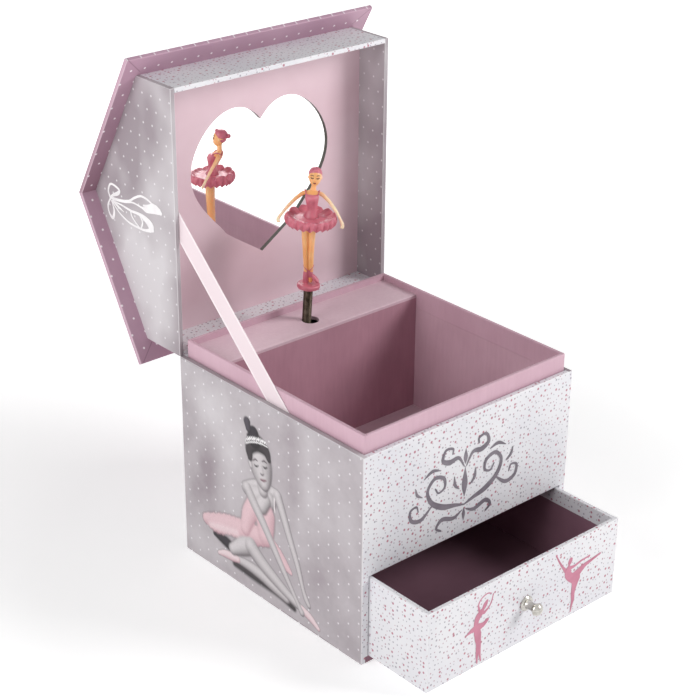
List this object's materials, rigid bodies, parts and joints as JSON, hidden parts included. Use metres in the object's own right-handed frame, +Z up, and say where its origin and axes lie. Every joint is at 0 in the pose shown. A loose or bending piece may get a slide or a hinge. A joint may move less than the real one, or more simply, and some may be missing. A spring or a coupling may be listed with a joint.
{
  "type": "wind-up music box",
  "caption": "House-shaped paper-covered music box with roofed lid, heart-shaped mirror, jewellery compartment, drawer and a dancer who turns over a key-wound movement.",
  "frame": {"origin": "centre of the case's bottom face, on the surface the box stands on", "axes": "+Z up, -Y out of the drawer front, +X to the right of someone facing the drawer"},
  "size_m": [0.135, 0.2247, 0.2265],
  "materials": {
    "printed_case_paper": "satin laminated print on grey board",
    "printed_front_paper": "satin laminated print on grey board",
    "pink_lining_paper": "matt coated paper on board",
    "roof_paper": "satin laminated print on grey board",
    "mirror_glass": "silvered",
    "satin_ribbon": "woven satin",
    "hinge_cloth": "book cloth",
    "nickel_plate": "polished nickel plate",
    "figure_plastic": "moulded and painted",
    "tutu_plastic": "moulded",
    "spring_steel": "blued and drawn",
    "steel": "ground",
    "brass": "turned",
    "cast_plate": "zinc casting, plated",
    "bearing_plastic": "moulded"
  },
  "bodies": {
    "case": {"case_left_wall": "printed_case_paper", "case_right_wall": "printed_case_paper", "case_back_wall": "printed_case_paper", "case_front_panel": "printed_front_paper", "case_bottom": "pink_lining_paper", "drawer_shelf": "pink_lining_paper", "drawer_guide_left": "pink_lining_paper", "drawer_guide_right": "pink_lining_paper", "liner_left": "pink_lining_paper", "liner_right": "pink_lining_paper", "liner_back": "pink_lining_paper", "liner_front": "pink_lining_paper", "compartment_floor": "pink_lining_paper", "partition": "pink_lining_paper", "platform": "pink_lining_paper", "movement_bedplate": "cast_plate", "upper_bracket": "cast_plate", "lower_bracket": "cast_plate", "train_bracket": "cast_plate", "governor_bracket": "bearing_plastic", "comb": "steel", "comb_screws": "steel", "case_screws": "steel"},
    "lid": {"lid_left_gable": "printed_case_paper", "lid_right_gable": "printed_case_paper", "lid_front_wall": "printed_front_paper", "lid_back_wall": "printed_front_paper", "roof_front_panel": "roof_paper", "roof_back_panel": "roof_paper", "lid_inner_panel": "pink_lining_paper", "mirror": "mirror_glass", "hinge_cloth": "hinge_cloth", "ribbon_stay": "satin_ribbon"},
    "drawer": {"drawer_front": "printed_front_paper", "drawer_left_side": "pink_lining_paper", "drawer_right_side": "pink_lining_paper", "drawer_back": "pink_lining_paper", "drawer_bottom": "pink_lining_paper", "drawer_knob": "nickel_plate", "knob_screw": "steel"},
    "winding_key_body": {"winding_arbor": "steel", "winding_key": "nickel_plate"},
    "barrel": {"spring_barrel": "brass", "barrel_cap": "brass", "mainspring": "spring_steel"},
    "cylinder": {"pin_cylinder": "brass", "cylinder_arbor": "steel", "cylinder_pinion": "brass", "cylinder_gear": "brass", "mast_hub": "steel"},
    "train": {"train_arbor": "steel", "worm_wheel": "bearing_plastic"},
    "governor": {"governor_spindle": "steel", "governor_fan": "bearing_plastic"},
    "mast": {"figure_spring": "spring_steel"},
    "dancer": {"ballerina_figure": "figure_plastic", "ballerina_tutu": "tutu_plastic"}
  },
  "joints": [
    {"name": "lid_hinge", "type": "hinge", "parent": "case", "child": "lid", "pos_m": [0, 0.06, 0.097], "axis": [1, 0, 0], "range_deg": [0, 90], "deforming": ["ribbon_stay", "hinge_cloth"]},
    {"name": "drawer_slide", "type": "slide", "parent": "case", "child": "drawer", "axis": [0, -1, 0], "range_m": [-0.0347, 0.06]},
    {"name": "key_turn", "type": "hinge", "parent": "case", "child": "winding_key_body", "pos_m": [-0.0009, 0.06, 0.0555], "axis": [0, 1, 0], "continuous": true},
    {"name": "cylinder_turn", "type": "hinge", "parent": "case", "child": "cylinder", "pos_m": [-0.0009, 0.0446, 0.0685], "axis": [0, 0, 1], "continuous": true},
    {"name": "barrel_turn", "type": "hinge", "parent": "case", "child": "barrel", "pos_m": [-0.0009, 0.0446, 0.0555], "axis": [0, 1, 0], "continuous": true},
    {"name": "train_turn", "type": "hinge", "parent": "case", "child": "train", "pos_m": [-0.00905, 0.0446, 0.091], "axis": [0, 0, 1], "continuous": true},
    {"name": "governor_turn", "type": "hinge", "parent": "case", "child": "governor", "pos_m": [-0.0139, 0.0446, 0.0944], "axis": [0, 1, 0], "continuous": true},
    {"name": "dancer_fold", "type": "hinge", "parent": "case", "child": "mast", "pos_m": [-0.0009, 0.0415, 0.11], "axis": [1, 0, 0], "range_deg": [0, 118], "deforming": ["figure_spring"]},
    {"name": "dancer_turn", "type": "hinge", "parent": "mast", "child": "dancer", "pos_m": [-0.0009, 0.0446, 0.105], "axis": [0.0389, -0.035, 0.9986], "continuous": true}
  ],
  "couplings": [
    {"joint": "dancer_fold", "follows": "lid_hinge", "ratio": 1.3111},
    {"joint": "barrel_turn", "follows": "cylinder_turn", "ratio": -0.16667},
    {"joint": "train_turn", "follows": "cylinder_turn", "ratio": -4.4},
    {"joint": "governor_turn", "follows": "cylinder_turn", "ratio": -105.6},
    {"joint": "dancer_turn", "follows": "cylinder_turn", "ratio": 1}
  ]
}
